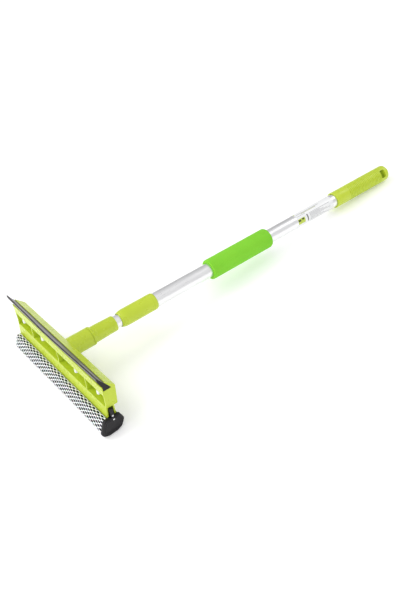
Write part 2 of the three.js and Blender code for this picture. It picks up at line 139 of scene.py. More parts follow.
# Pole.
ADAPTER_START, ADAPTER_END = 17.0, 70.3
INNER_RADIUS, INNER_START, INNER_END = 7.9, 44.3, 432.0
COLLAR_START, COLLAR_END, COLLAR_RADIUS, COLLAR_SEAT = 77.0, 128.7, 10.75, 83.0
OUTER_RADIUS, OUTER_START, OUTER_END = 9.4, 98.0, 532.0
TUBE_WALL, TUBE_CHAMFER, TUBE_STEPS = 0.7, 0.15, 24
FOAM_START, FOAM_END, FOAM_RADIUS, FOAM_ROUND = 214.4, 315.4, 13.5, 2.6
LABEL_START, LABEL_END = 366.0, 434.0
GRIP_START, GRIP_END, GRIP_RADIUS, GRIP_FOOT = 442.0, 551.0, 11.2, 546.0
GRIP_DOME = 4.6
RIBS_START, RIB_PITCH, RIB_COUNT, RIB_DEPTH = 467.0, 2.95, 23, 0.85
SLOT_Y, SLOT_ALONG, SLOT_ACROSS, SLOT_TURN = 538.2, 8.0, 11.6, 57.0


def flank_at(z):
    """The blade's back flank, which the channel's back lip follows."""
    return FLANK_FOOT - FLANK_LEAN * (z - BOX_TOP)


def floor_at(y):
    """The floor's height in the pole's frame."""
    return SPONGE_FOOT_Z + FLOOR_SLOPE * (y - SPONGE_FOOT_Y)


# ---- Mesh tools --------------------------------------------------------------------------

def link(name, data):
    """An object with this data, linked to the scene."""
    obj = bpy.data.objects.new(name, data)
    bpy.context.scene.collection.objects.link(obj)
    return obj


def make(name, verts, faces):
    """A mesh object from points in the pole's frame, carried into the row frame."""
    mesh = bpy.data.meshes.new(name)
    mesh.from_pydata([tuple(v) for v in verts], [], faces)
    mesh.transform(POLE)
    mesh.validate()
    obj = link(name, mesh)
    face_out(obj)
    return obj


def face_out(obj, weld=0.0):
    """Turns every face outward, after joining points closer than weld, in millimetres."""
    bm = bmesh.new()
    bm.from_mesh(obj.data)
    if weld:
        bmesh.ops.remove_doubles(bm, verts=bm.verts, dist=weld * MM)
    bmesh.ops.recalc_face_normals(bm, faces=bm.faces)
    bm.to_mesh(obj.data)
    bm.free()


def bake(obj):
    """Applies every modifier of an object to its mesh."""
    bpy.context.view_layer.update()
    graph = bpy.context.evaluated_depsgraph_get()
    mesh = bpy.data.meshes.new_from_object(obj.evaluated_get(graph))
    obj.modifiers.clear()
    obj.data = mesh


def combine(obj, other, operation):
    """Joins other to obj or cuts it away, and removes other."""
    modifier = obj.modifiers.new(operation.lower(), "BOOLEAN")
    modifier.operation = operation
    modifier.solver = "EXACT"
    modifier.object = other
    bake(obj)
    bpy.data.objects.remove(other)
    return obj


def thicken(obj, thickness, offset):
    """Adds a modifier that makes a sheet this thick, in millimetres."""
    thick = obj.modifiers.new("thickness", "SOLIDIFY")
    thick.thickness = thickness * MM
    thick.offset = offset


def smooth(obj, angle=32):
    """Shades an object smooth, apart from edges sharper than angle in degrees."""
    for polygon in obj.data.polygons:
        polygon.use_smooth = True
    obj.data.set_sharp_from_angle(angle=math.radians(angle))


def add_bevel(obj, width, angle):
    """Adds a modifier that rounds edges sharper than angle by width, in millimetres."""
    bevel = obj.modifiers.new("round_edges", "BEVEL")
    bevel.width = width * MM
    bevel.segments = 2
    bevel.limit_method = "ANGLE"
    bevel.angle_limit = math.radians(angle)
    return bevel


def round_edges(obj, width, angle=35):
    """Rounds the sharp edges of a moulded piece by width, in millimetres."""
    add_bevel(obj, width, angle).miter_outer = "MITER_ARC"
    bake(obj)
    smooth(obj, 40)
    weighted = obj.modifiers.new("weighted_normals", "WEIGHTED_NORMAL")
    weighted.keep_sharp = True
    bake(obj)


def rounded(outline, radius, steps=4):
    """A closed outline with each corner replaced by an arc of about radius.

    A point's third number, where it has one, is its own radius.
    """
    result = []
    count = len(outline)
    for i, point in enumerate(outline):
        corner = Vector(point[:2])
        r = point[2] if len(point) > 2 else radius
        # A corner that is nearly straight stays, and an arc takes less than half of a side.
        before = Vector(outline[i - 1][:2]) - corner
        after = Vector(outline[(i + 1) % count][:2]) - corner
        turn = before.angle(after)
        if r == 0 or turn > math.radians(172):
            result.append(tuple(corner))
            continue
        reach = min(r / math.tan(turn / 2), 0.45 * before.length, 0.45 * after.length)
        a = corner + before.normalized() * reach
        b = corner + after.normalized() * reach
        for k in range(steps + 1):
            t = k / steps
            result.append(tuple(a * (1 - t) ** 2 + corner * 2 * t * (1 - t) + b * t ** 2))
    return result


def arc(radius, y, r, start, stop, steps=5):
    """Points of a fillet of radius r about (radius, y), from start to stop degrees."""
    points = []
    for k in range(steps + 1):
        angle = math.radians(start + (stop - start) * k / steps)
        points.append((radius + r * math.cos(angle), y + r * math.sin(angle)))
    return points


def ring_faces(a, b, count):
    """The faces between two closed rings of count points, which start at a and b."""
    return [[a + i, a + (i + 1) % count, b + (i + 1) % count, b + i] for i in range(count)]


def end_faces(count, last):
    """The faces that close a stack of rings of count points, the last starting at last."""
    return [list(range(count))[::-1], list(range(last, last + count))]


def prism(name, outline, x0, x1, rings=1):
    """A solid along X whose section is a closed outline of (y, z) points."""
    count = len(outline)
    verts = []
    for k in range(rings + 1):
        x = x0 + (x1 - x0) * k / rings
        verts += [(x, y, z) for y, z in outline]
    faces = end_faces(count, rings * count)
    for k in range(rings):
        faces += ring_faces(k * count, (k + 1) * count, count)
    return make(name, verts, faces)


def block(name, x0, x1, y0, y1, z0, z1):
    """A box between two corners."""
    return prism(name, [(y0, z0), (y1, z0), (y1, z1), (y0, z1)], x0, x1)


def spun(name, profile, sides, place):
    """A solid turned from a closed profile; place puts a profile point at an angle."""
    count = len(profile)
    verts, faces = [], []
    for k in range(sides):
        angle = 2 * math.pi * k / sides
        verts += [place(radius, along, angle) for radius, along in profile]
        faces += ring_faces(k * count, (k + 1) % sides * count, count)
    obj = make(name, verts, faces)
    face_out(obj, weld=0.002)
    smooth(obj)
    return obj


def lathe(name, profile, sides=96):
    """A solid turned about the pole's axis from a closed profile of (radius, y) points."""
    def place(radius, y, angle):
        return radius * math.sin(angle), y, radius * math.cos(angle)

    return spun(name, profile, sides, place)


def stand_in(obj, body, material, node):
    """Finishes a new piece: its material, the body it rides on and the CAD node it shows."""
    obj.data.materials.clear()
    obj.data.materials.append(material)
    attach(obj, body)
    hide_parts(node)


# ---- Materials ---------------------------------------------------------------------------

class Shader:
    """A node material with short calls for the nodes that it uses.

    Texture scales are per metre, and bump distances are in metres.
    """

    def __init__(self, name, **sockets):
        self.material = bpy.data.materials.new(name)
        self.material.use_nodes = True
        self.tree = self.material.node_tree
        self.shader = self.tree.nodes["Principled BSDF"]
        for socket, value in sockets.items():
            self.set(socket, value)
        self.place = self.node("ShaderNodeTexCoord").outputs["Object"]

    def feed(self, socket, value):
        """Links an output to a socket, or sets the socket's own value."""
        if hasattr(value, "is_output"):
            self.tree.links.new(value, socket)
        else:
            socket.default_value = value

    def set(self, socket, value):
        self.feed(self.shader.inputs[socket.replace("_", " ")], value)

    def node(self, kind, settings=None, **inputs):
        node = self.tree.nodes.new(kind)
        for key, value in (settings or {}).items():
            setattr(node, key, value)
        for key, value in inputs.items():
            self.feed(node.inputs[key], value)
        return node

    def stretched(self, scale):
        """Object coordinates scaled along the row frame's axes."""
        mapping = self.node("ShaderNodeMapping", Vector=self.place, Scale=scale)
        return mapping.outputs["Vector"]

    def noise(self, scale, detail=4.0, place=None, distortion=0.0):
        made = self.node("ShaderNodeTexNoise", Vector=place or self.place, Scale=scale,
                         Detail=detail, Roughness=0.55, Distortion=distortion)
        return made.outputs["Fac"]

    def cells(self, scale):
        made = self.node("ShaderNodeTexVoronoi", Vector=self.place, Scale=scale)
        return made.outputs["Distance"]

    def ramp(self, value, low, high, to_low=0.0, to_high=1.0):
        made = self.node("ShaderNodeMapRange", {"clamp": True}, Value=value)
        for index, number in zip((1, 2, 3, 4), (low, high, to_low, to_high)):
            made.inputs[index].default_value = number
        return made.outputs[0]

    def mix(self, share, a, b):
        made = self.node("ShaderNodeMix", {"data_type": "RGBA"})
        for index, value in ((0, share), (6, a), (7, b)):
            self.feed(made.inputs[index], value)
        return made.outputs[2]

    def maths(self, operation, a, b):
        made = self.node("ShaderNodeMath", {"operation": operation})
        self.feed(made.inputs[0], a)
        self.feed(made.inputs[1], b)
        return made.outputs[0]

    def bump(self, height, distance, strength, normal=None):
        made = self.node("ShaderNodeBump", Height=height, Distance=distance, Strength=strength)
        if normal is not None:
            self.tree.links.new(normal, made.inputs["Normal"])
        return made.outputs["Normal"]


def colour(red, green, blue):
    return (red, green, blue, 1.0)


def plastic(name, base, shade, light, roughness=0.34, glow=0.02, gloss=0.5):
    """Moulded plastic: soft flow marks, a faint orange peel and fine rub marks."""
    s = Shader(name, Subsurface_Weight=glow, Subsurface_Scale=0.004, Specular_IOR_Level=gloss)
    s.set("Subsurface_Radius", (1.0, 0.8, 0.25))
    flow = s.noise(26.0, detail=3.0, distortion=0.6)
    base_mix = s.mix(s.ramp(flow, 0.35, 0.7), shade, base)
    rubs = s.noise(900.0, detail=2.0, place=s.stretched((1.0, 0.08, 0.6)))
    s.set("Base_Color", s.mix(s.ramp(rubs, 0.62, 0.8, 0.0, 0.14), base_mix, light))
    patches = s.noise(70.0, detail=5.0)
    s.set("Roughness", s.ramp(patches, 0.3, 0.7, roughness - 0.06, roughness + 0.1))
    peel = s.bump(s.noise(420.0, detail=2.0), 0.00006, 0.5)
    s.set("Normal", s.bump(rubs, 0.00003, 0.4, peel))
    return s.material


def rubber_material():
    """Dark rubber with a fine bloom and faint lines along the blade from wiping."""
    s = Shader("blade_rubber", Specular_IOR_Level=0.2, Sheen_Weight=0.4, Sheen_Roughness=0.35)
    s.set("Sheen_Tint", colour(0.9, 0.84, 0.9))
    bloom = s.noise(160.0, detail=6.0)
    lines = s.noise(1500.0, detail=2.0, place=s.stretched((0.03, 1.0, 1.0)))
    dark = s.mix(s.ramp(bloom, 0.35, 0.7), colour(0.008, 0.007, 0.008),
                 colour(0.016, 0.014, 0.016))
    s.set("Base_Color", s.mix(s.ramp(lines, 0.55, 0.8, 0.0, 0.4), dark,
                              colour(0.035, 0.032, 0.035)))
    s.set("Roughness", s.ramp(bloom, 0.3, 0.7, 0.26, 0.4))
    s.set("Normal", s.bump(lines, 0.00004, 0.5, s.bump(bloom, 0.00006, 0.3)))
    return s.material


def net_material():
    """White plastic net: glossy flat strands with fine drawn lines and a little grey soil."""
    s = Shader("net_fabric", Subsurface_Weight=0.12, Subsurface_Scale=0.0015)
    soil = s.noise(55.0, detail=6.0)
    s.set("Base_Color", s.mix(s.ramp(soil, 0.45, 0.8), colour(0.95, 0.95, 0.97),
                              colour(0.84, 0.84, 0.88)))
    threads = s.noise(2600.0, detail=2.0, place=s.stretched((0.12, 1.0, 1.0)))
    s.set("Roughness", s.ramp(soil, 0.3, 0.7, 0.42, 0.62))
    s.set("Normal", s.bump(threads, 0.00012, 0.6))
    return s.material


def pores_material(name, base, deep, scale, depth, roughness, glow=0.0, gloss=0.2):
    """Foam: closely packed pores of two sizes, with painted shade darkening the inside of each
    pore.
    """
    s = Shader(name, Subsurface_Weight=glow, Subsurface_Scale=0.003, Specular_IOR_Level=gloss)
    s.set("Roughness", roughness)
    wander = s.noise(18.0, detail=4.0)
    big = s.cells(scale)
    small = s.cells(scale * 2.7)
    pores = s.maths("MULTIPLY", s.ramp(big, 0.1, 0.55), s.ramp(small, 0.05, 0.5))
    tone = s.mix(s.ramp(wander, 0.3, 0.75, 0.0, 0.5), base, deep)
    # Painted shade: each pore is mixed towards the deep colour at its middle, where the bump sinks
    # it.
    s.set("Base_Color", s.mix(s.ramp(pores, 0.0, 0.5, 0.55, 0.0), tone, deep))
    s.set("Normal", s.bump(pores, depth, 0.8))
    return s.material


def aluminium_material():
    """Drawn and satin anodised tube: fine lines along the pole and a few soft stains."""
    s = Shader("tube_aluminium", Metallic=1.0)
    along = s.stretched((1.0, 0.02, 1.0))
    lines = s.noise(1300.0, detail=3.0, place=along)
    stains = s.noise(34.0, detail=5.0)
    base = s.mix(s.ramp(lines, 0.3, 0.7), colour(0.86, 0.86, 0.87), colour(0.93, 0.93, 0.94))
    s.set("Base_Color", s.mix(s.ramp(stains, 0.55, 0.8, 0.0, 0.35), base,
                              colour(0.84, 0.84, 0.86)))
    s.set("Roughness", s.ramp(lines, 0.25, 0.75, 0.26, 0.36))
    s.set("Normal", s.bump(lines, 0.00001, 0.2))
    return s.material


def steel_material():
    """Dull rivet steel with small tool marks."""
    s = Shader("rivet_steel", Metallic=1.0)
    marks = s.noise(900.0, detail=4.0)
    s.set("Base_Color", s.mix(marks, colour(0.55, 0.55, 0.56), colour(0.75, 0.75, 0.76)))
    s.set("Roughness", s.ramp(marks, 0.3, 0.7, 0.25, 0.5))
    s.set("Normal", s.bump(marks, 0.00005, 0.5))
    return s.material


def label_material():
    """White film with a lime patch, dark blocks and grey bars drawn by ranges of its UV map."""
    s = Shader("label_film", Coat_Weight=0.3, Coat_Roughness=0.2)
    uv = s.node("ShaderNodeUVMap", {"uv_map": "film"}).outputs[0]
    parts = s.node("ShaderNodeSeparateXYZ", Vector=uv)
    across, along = parts.outputs[0], parts.outputs[1]

    def within(value, low, high):
        above = s.maths("GREATER_THAN", value, low)
        below = s.maths("LESS_THAN", value, high)
        return s.maths("MULTIPLY", above, below)

    def patch(a0, a1, y0, y1):
        """A mask over a range of shares round the tube and along the film."""
        return s.maths("MULTIPLY", within(across, a0, a1), within(along, y0, y1))

    film_noise = s.noise(60.0, detail=4.0)
    shade = s.mix(s.ramp(film_noise, 0.3, 0.7), colour(0.80, 0.81, 0.82),
                  colour(0.88, 0.885, 0.89))
    lime, dark = colour(0.50, 0.62, 0.06), colour(0.05, 0.065, 0.01)
    grey, pale_grey = colour(0.16, 0.16, 0.15), colour(0.42, 0.42, 0.43)
    # From the bottom up: each patch and its ink.
    layers = [
        (patch(0.553, 0.682, 0.005, 0.19), lime),
        (patch(0.572, 0.615, 0.012, 0.078), dark),
        (patch(0.562, 0.603, 0.112, 0.166), dark),
        (patch(0.525, 0.70, 0.252, 0.282), grey),
        (patch(0.378, 0.402, 0.0, 0.03), lime),
        (patch(0.424, 0.438, 0.04, 0.66), pale_grey),
        (patch(0.448, 0.460, 0.16, 0.57), colour(0.36, 0.39, 0.13)),
        (patch(0.482, 0.492, 0.02, 0.25), pale_grey),
    ]
    # A block of thin bars that end unevenly, as lines of print do.
    bars, first_bar, bar_step, bar_width = 9, 0.528, 0.024, 0.010
    for k in range(bars):
        low = first_bar + bar_step * k
        bar_end = 0.90 - 0.09 * ((k * 3) % 4)
        layers.append((patch(low, low + bar_width, 0.33, bar_end), pale_grey))
    for mask, ink in layers:
        shade = s.mix(mask, shade, ink)
    s.set("Base_Color", shade)
    s.set("Roughness", s.ramp(film_noise, 0.3, 0.7, 0.28, 0.4))
    s.set("Normal", s.bump(s.noise(240.0, detail=3.0), 0.00005, 0.4))
    return s.material


LIME = plastic("lime_plastic", colour(0.53, 0.65, 0.038), colour(0.50, 0.625, 0.029),
               colour(0.64, 0.74, 0.10), roughness=0.27)
BLACK = plastic("black_plastic", colour(0.011, 0.010, 0.012), colour(0.007, 0.006, 0.008),
                colour(0.03, 0.03, 0.034), roughness=0.45, glow=0.0, gloss=0.35)
WHITE = plastic("white_plastic", colour(0.86, 0.86, 0.84), colour(0.80, 0.80, 0.77),
                colour(0.93, 0.93, 0.92), roughness=0.36)
RUBBER = rubber_material()
NET = net_material()
# The second colour of each foam is both a darker tone at random and the painted shade inside its
# pores.
SPONGE = pores_material("sponge_foam", colour(0.008, 0.008, 0.009), colour(0.002, 0.002, 0.003),
                        900.0, 0.0004, 0.95, gloss=0.08)
FOAM = pores_material("foam_green", colour(0.26, 0.70, 0.045), colour(0.16, 0.52, 0.02),
                      1500.0, 0.00012, 0.75, glow=0.1)
ALUMINIUM = aluminium_material()
STEEL = steel_material()

# ---- Head --------------------------------------------------------------------------------


def head_outline():
    """Section of the head, with a corner radius as the third number where it isn't usual."""
    return rounded([
        (BOX_FRONT, BOX_TOP, 1.2),
        (BOX_FRONT - 0.7, FRONT_LIP_TOP),
        (BOX_FRONT + 0.6, FRONT_LIP_TOP + 0.2),
        (BOX_FRONT + 1.0, BOX_TOP, 0.2),
        (flank_at(BOX_TOP) + 0.3, BOX_TOP, 0.2),
        (flank_at(BACK_LIP_TOP) + 0.3, BACK_LIP_TOP),
        (flank_at(BACK_LIP_TOP) + 0.9, BACK_LIP_TOP + 0.4),
        (BOX_BACK_TOP, BOX_TOP + 0.8, 1.0),
        (BOX_BACK_BOTTOM, BOX_BOTTOM, 0.8),
        (JAW_BACK, BOX_BOTTOM, 0.7),
        (JAW_BACK - 0.2, JAW_TIP, 0.5),
        (CARRIER_Y + HOOK_HALF_GAP, JAW_TIP),
        (CARRIER_Y + HOOK_HALF_GAP, HOOK_TOP),
        (CHANNEL_BACK, HOOK_TOP),
        (CHANNEL_BACK, BOX_BOTTOM),
        (CHANNEL_FRONT, BOX_BOTTOM),
        (CHANNEL_FRONT_TIP, HOOK_TOP),
        (CARRIER_Y - HOOK_HALF_GAP, HOOK_TOP),
        (CARRIER_Y - HOOK_HALF_GAP, JAW_TIP),
        (JAW_FRONT, JAW_TIP, 0.6),
        (BOX_FRONT, -6, 0),
    ], 0.35)


def head_cell(x0, x1):
    """One hollow cell of the box, joined with its front window."""
    floor = BOX_BOTTOM + WALL
    roof = BOX_TOP - ROOF
    outside = BOX_FRONT - 5
    inside = BOX_FRONT + WALL
    outline = [
        (outside, floor),
        (BOX_BACK_BOTTOM - WALL, floor),
        (BOX_BACK_TOP - WALL - 0.4, roof),
        (inside, roof),
        (inside, WINDOW_TOP),
        (outside, WINDOW_TOP),
    ]
    return prism("cell", outline, x0, x1)


def head_shell():
    """The head moulding: the extruded section, the flared neck and the four hollow cells."""
    shell = prism("head_shell", head_outline(), -END, END)
    foot = BOX_BACK_BOTTOM + 0.9
    neck = [(SOCKET_RADIUS, NECK_END), (SOCKET_RADIUS, SOCKET_FLOOR), (0.0, SOCKET_FLOOR),
            (0.0, NECK_START), (NECK_RADIUS + 1.0, NECK_START)]
    for k in range(7):
        angle = math.radians(15 * k)
        neck.append((NECK_RADIUS + NECK_FLARE * (1 - math.sin(angle)) * 0.5,
                     foot + NECK_FLARE * 2 * (1 - math.cos(angle))))
    neck += [(NECK_RADIUS, NECK_END - 0.5), (NECK_RADIUS - 0.35, NECK_END)]
    combine(shell, lathe("neck", neck, 72), "UNION")
    half = WALL / 2
    walls = [-END + half, -RIB_SPACING, 0, RIB_SPACING, END - half]
    for left, right in zip(walls, walls[1:]):
        combine(shell, head_cell(left + half, right - half), "DIFFERENCE")
    round_edges(shell, 0.3)
    stand_in(shell, "extension", LIME, "head_frame")


def blade_strip():
    """The rubber: a broad foot in the channel, a tapering web, and a beaded wiping edge."""
    foot = BOX_TOP + 0.3
    tip = BLADE_TIP_Z
    outline = rounded([
        (BOX_FRONT + 1.35, foot, 0.3),
        (flank_at(foot), foot, 0.3),
        # The back steps in above the lip, and out again at the bead.
        (flank_at(23.6), 23.6, 0),
        (flank_at(24.6) - 0.35, 24.6, 0.3),
        (flank_at(tip - 2.4) - 0.35, tip - 2.4, 0.3),
        (flank_at(tip - 1.8), tip - 1.8, 0.3),
        (flank_at(tip), tip, 0.12),
        (BLADE_TIP_Y, tip - 0.6, 0.12),
        # The front tapers down to the front lip.
        (-10.6, 27.5, 3.0),
        (-8.1, 21.8, 1.0),
        (BOX_FRONT + 1.2, 18.9, 0.4),
        (BOX_FRONT + 1.2, 18.0, 0.4),
    ], 0.3)
    strip = prism("blade_strip", outline, -END - 0.5, END, rings=90)
    for vertex in strip.data.vertices:
        local = POLE_INVERSE @ vertex.co
        reach = max(0.0, local.z - BLADE_FREE) / (tip - BLADE_FREE)
        wave = noise.noise(Vector((local.x * 0.035, 3.1, 0.0)))
        bow = math.cos(math.pi / 2 * local.x / END) ** 2
        local.y += reach * (BLADE_WAVE * wave - BLADE_BOW * bow)
        vertex.co = POLE @ local
    smooth(strip, 38)
    stand_in(strip, "extension", RUBBER, "squeegee_blade")


# ---- Sponge ------------------------------------------------------------------------------

def sponge_section(margin, steps=12):
    """The sponge's outline, a polygon with round corners, pushed out by margin."""
    outline = []
    count = len(SPONGE_CORNERS)
    for i, (y, z, radius) in enumerate(SPONGE_CORNERS):
        corner = Vector((y, z))
        back = (Vector(SPONGE_CORNERS[i - 1][:2]) - corner).normalized()
        ahead = (Vector(SPONGE_CORNERS[(i + 1) % count][:2]) - corner).normalized()
        half = back.angle(ahead) / 2
        centre = corner + (back + ahead).normalized() * radius / math.sin(half)
        start = corner + back * radius / math.tan(half) - centre
        first = math.atan2(start.y, start.x)
        for k in range(steps + 1):
            angle = first + (math.pi - 2 * half) * k / steps
            outline.append(centre + (radius + margin) * Vector((math.cos(angle), math.sin(angle))))
    return outline


def wrap_line(margin, tuck):
    """The sponge's outline from one wall of the jaws' trench round to the other.

    It starts and ends `tuck` deep in the trench, and lies flat on the floor.
    """
    outline = sponge_section(margin)
    first, last = outline[0], outline[-1]
    slope = (last.y - first.y) / (last.x - first.x)
    walls = []
    for side, inward in ((TRENCH_FRONT, 1), (TRENCH_BACK, -1)):
        top = first.y + slope * (side - first.x)
        walls.append([Vector((side, top - tuck)), Vector((side, top - 0.8)),
                      Vector((side + inward * 0.25, top - 0.2))])
    rough = walls[0] + outline + walls[1][::-1]
    line = []
    for a, b in zip(rough, rough[1:]):
        pieces = max(1, round((b - a).length / WRAP_SPACING))
        line += [a.lerp(b, k / pieces) for k in range(pieces)]
    line.append(rough[-1])
    for _ in range(3):       # rounds of smoothing
        line = [line[0]] + [(a + b * 2 + c) / 4 for a, b, c in zip(line, line[1:], line[2:])] \
            + [line[-1]]
    return [Vector((y, max(z, floor_at(y) - margin))) for y, z in line]


class Wrap:
    """Places points on a wrap line by arc length."""

    def __init__(self, margin, tuck):
        self.line = wrap_line(margin, tuck)
        self.reach = [0.0]
        for a, b in zip(self.line, self.line[1:]):
            self.reach.append(self.reach[-1] + (b - a).length)
        self.length = self.reach[-1]

    def at(self, s):
        """The point at arc length s and the outward normal there."""
        s = min(max(s, 0.0), self.length)
        low, high = 0, len(self.reach) - 1
        while high - low > 1:
            middle = (low + high) // 2
            if self.reach[middle] > s:
                high = middle
            else:
                low = middle
        span = self.reach[high] - self.reach[low] or 1.0
        share = (s - self.reach[low]) / span
        point = self.line[low].lerp(self.line[high], share)
        along = (self.line[high] - self.line[low]).normalized()
        return point, Vector((along.y, -along.x))


class Lattice(Wrap):
    """Rows of holes round the sponge, counted by a row number that may be a fraction."""

    def __init__(self):
        super().__init__(-NET_DEPTH, NET_TUCK)
        self.rows = round(self.length / NET_ROW)

    def reach_of(self, row):
        """The arc length of a row, closer together at the jaws than below."""
        turn = row / self.rows
        bunched = NET_STRETCH * math.sin(2 * math.pi * turn) / (2 * math.pi)
        return self.length * (turn - bunched)

    def row_at(self, s):
        """The row number at arc length s, the reverse of reach_of, by repeated correction."""
        row = s / self.length * self.rows
        for _ in range(6):
            row += (s - self.reach_of(row)) / self.length * self.rows
        return row


def soft_wander(x, s):
    """How far the soft sponge stands out or in at a place, in millimetres."""
    return WANDER * noise.noise(Vector((x * 0.022, s * 0.045, 7.3))) + WANDER_MEAN


def net_position(lattice, x, row, lift):
    """A place on the net: round the sponge, or gathered over its closed left end."""
    s = lattice.reach_of(row)
    point, outward = lattice.at(s)
    on_floor = point.y < floor_at(point.x) + NET_LEVEL
    swell = 0.0 if on_floor else soft_wander(x, s)
    point = point + outward * (swell + lift)
    if x >= NET_LEFT:
        return x, point.x, point.y
    # Past the left end the net turns in, and is drawn almost to the line it is gathered on.
    past = NET_LEFT - x
    bend = min(past / NET_TURN, 1.0) * math.pi / 2
    inward = NET_TURN * (1 - math.cos(bend)) * 0.6 + max(0.0, past - NET_TURN)
    centre = Vector((END_CENTRE.x + END_SPREAD * (point.x - END_CENTRE.x), END_CENTRE.y))
    share = min(inward / max((point - centre).length, 0.01), 0.97)
    point = point.lerp(centre, share)
    return NET_LEFT - NET_TURN * math.sin(bend), point.x, point.y


def cell_border():
    """Once round a diamond cell, in quarter pitches and half rows from its middle."""
    corners = [(2, 0), (0, 2), (-2, 0), (0, -2)]
    border = []
    for (a, b), (c, d) in zip(corners, corners[1:] + corners[:1]):
        border += [(a + (c - a) * k / 4, b + (d - b) * k / 4) for k in range(4)]
    return border


def net_sleeve():
    """The net as a real lattice of diamond cells, each a ring of strand round its hole."""
    lattice = Lattice()
    quarter = NET_PITCH / 4
    verts, faces, known = [], [], {}

    def vertex(key, x, row, lift):
        if key not in known:
            known[key] = len(verts)
            verts.append(net_position(lattice, min(x, NET_RIGHT), row, lift))
        return known[key]

    border = cell_border()
    power = 2 / HOLE_SQUARENESS
    for row in range(1, lattice.rows):
        for k in range(-HOLE_COLUMNS, HOLE_COLUMNS):
            middle = 4 * k + 2 * (row % 2)
            if (middle - 2) * quarter >= NET_RIGHT:
                continue
            outer, inner = [], []
            for a, b in border:
                outer.append(vertex((middle + a, 2 * row + b), (middle + a) * quarter,
                                    row + b / 2, STRAND_CREST))
                angle = math.atan2(b * NET_ROW / 2, a * quarter)
                c, t = math.cos(angle), math.sin(angle)
                hole_x = middle * quarter + HOLE_HALF * math.copysign(abs(c) ** power, c)
                hole_row = row + HOLE_RISE * math.copysign(abs(t) ** power, t)
                inner.append(vertex((row, k, a, b), hole_x, hole_row, HOLE_DIP))
            for i in range(len(border)):
                j = (i + 1) % len(border)
                faces.append([outer[i], outer[j], inner[j], inner[i]])
    net = make("net_sleeve", verts, faces)
    bm = bmesh.new()
    bm.from_mesh(net.data)
    bmesh.ops.dissolve_degenerate(bm, dist=0.01 * MM, edges=bm.edges)
    bmesh.ops.recalc_face_normals(bm, faces=bm.faces)
    area = sum(face.calc_area() for face in bm.faces)
    bm.to_mesh(net.data)
    bm.free()
    thicken(net, STRAND_THICKNESS, 0.0)
    fine = net.modifiers.new("fine", "SUBSURF")
    fine.levels = fine.render_levels = 1
    bake(net)
    smooth(net, 80)
    stand_in(net, "cartridge", NET, "sponge_net")


def sponge_body():
    """The foam inside the net, which bulges a little into each hole."""
    wrap = Wrap(-FOAM_DEPTH, FOAM_TUCK)
    lattice = Lattice()
    left, right = NET_LEFT - 1.1, END - 0.1
    lines = []
    for j in range(FOAM_ACROSS + 1):
        s = wrap.length * j / FOAM_ACROSS
        s_net = min(max(s - (wrap.length - lattice.length) / 2, 0.0), lattice.length)
        point, outward = wrap.at(s)
        on_floor = point.y < floor_at(point.x) + FOAM_LEVEL
        row_wave = math.cos(math.pi * lattice.row_at(s_net))
        lines.append((s, s_net, point, outward, row_wave, on_floor))
    verts, faces = [], []
    for i in range(FOAM_ALONG + 1):
        x = left + (right - left) * i / FOAM_ALONG
        column = math.cos(2 * math.pi * x / NET_PITCH)
        for s, s_net, point, outward, row_wave, on_floor in lines:
            swell = 0.0 if on_floor else soft_wander(x, s_net)
            bulge = FOAM_BULGE * max(0.0, column * row_wave) ** 0.8
            grain = FOAM_GRAIN * noise.noise(Vector((x * 1.9, s * 1.9, 1.0)))
            y, z = point + outward * (swell + bulge + grain)
            verts.append((x, y, z))
    width = FOAM_ACROSS + 1
    for i in range(FOAM_ALONG):
        faces += ring_faces(i * width, (i + 1) * width, width)
    faces += [face[::-1] for face in end_faces(width, FOAM_ALONG * width)]
    body = make("sponge_body", verts, faces)
    smooth(body, 60)
    stand_in(body, "cartridge", SPONGE, "sponge_core")


def cap_ring(x, inset):
    """One ring of the cap: the section drawn in towards its middle, and level by the floor."""
    share = 1 - inset / CAP_HALF
    ring = []
    for point in sponge_section(CAP_MARGIN, 14):
        y, z = SPONGE_MIDDLE.lerp(point, share)
        ring.append((x, y, max(z, floor_at(y) + 0.15 + inset)))
    return ring


def cap_shell():
    """The cap: a stepped face with a low bead round it, and an arm up between the jaws."""
    back, face = CAP_START, CAP_FACE
    # Each ring's place along the head, and how far it is drawn in.
    rings = [
        (back, 0.3), (back + 0.4, 0.0), (face - 1.9, 0.0), (face - 1.1, 0.2), (face - 0.5, 0.6),
        (face - 0.12, 1.1), (face, 1.7), (face, 2.2), (face - 0.2, 2.45), (face - 0.42, 2.6),
        (face - 0.45, 3.1), (face - 0.25, 3.3), (face - 0.05, 3.6), (face - 0.05, 4.1),
        (face - 0.25, 4.35), (face - 0.5, 4.5), (face - 0.55, 7.5), (face - 0.35, 11.5),
    ]
    verts, faces = [], []
    for x, inset in rings:
        ring = cap_ring(x, inset)
        verts += ring
    sides = len(ring)
    last = (len(rings) - 1) * sides
    for start in range(0, last, sides):
        faces += ring_faces(start, start + sides, sides)
    cap = make("cap_shell", verts, faces + end_faces(sides, last))
    arm_outline = rounded([
        (ARM_FRONT, BOX_BOTTOM - 0.3),
        (ARM_FRONT, JAW_TIP - 4),
        (ARM_BACK, JAW_TIP - 4),
        (ARM_BACK, BOX_BOTTOM - 0.3),
    ], 0.7)
    arm = prism("arm", arm_outline, CAP_START, CAP_FACE - ARM_DROP)
    plug = block("plug", END - 1.7, CAP_START + 1.0, ARM_FRONT + 0.05, ARM_BACK - 0.05,
                 HOOK_TOP + 0.3, BOX_BOTTOM - 0.35)
    combine(cap, combine(arm, plug, "UNION"), "UNION")
    round_edges(cap, 0.22, angle=50)
    stand_in(cap, "cartridge", BLACK, "end_cap")


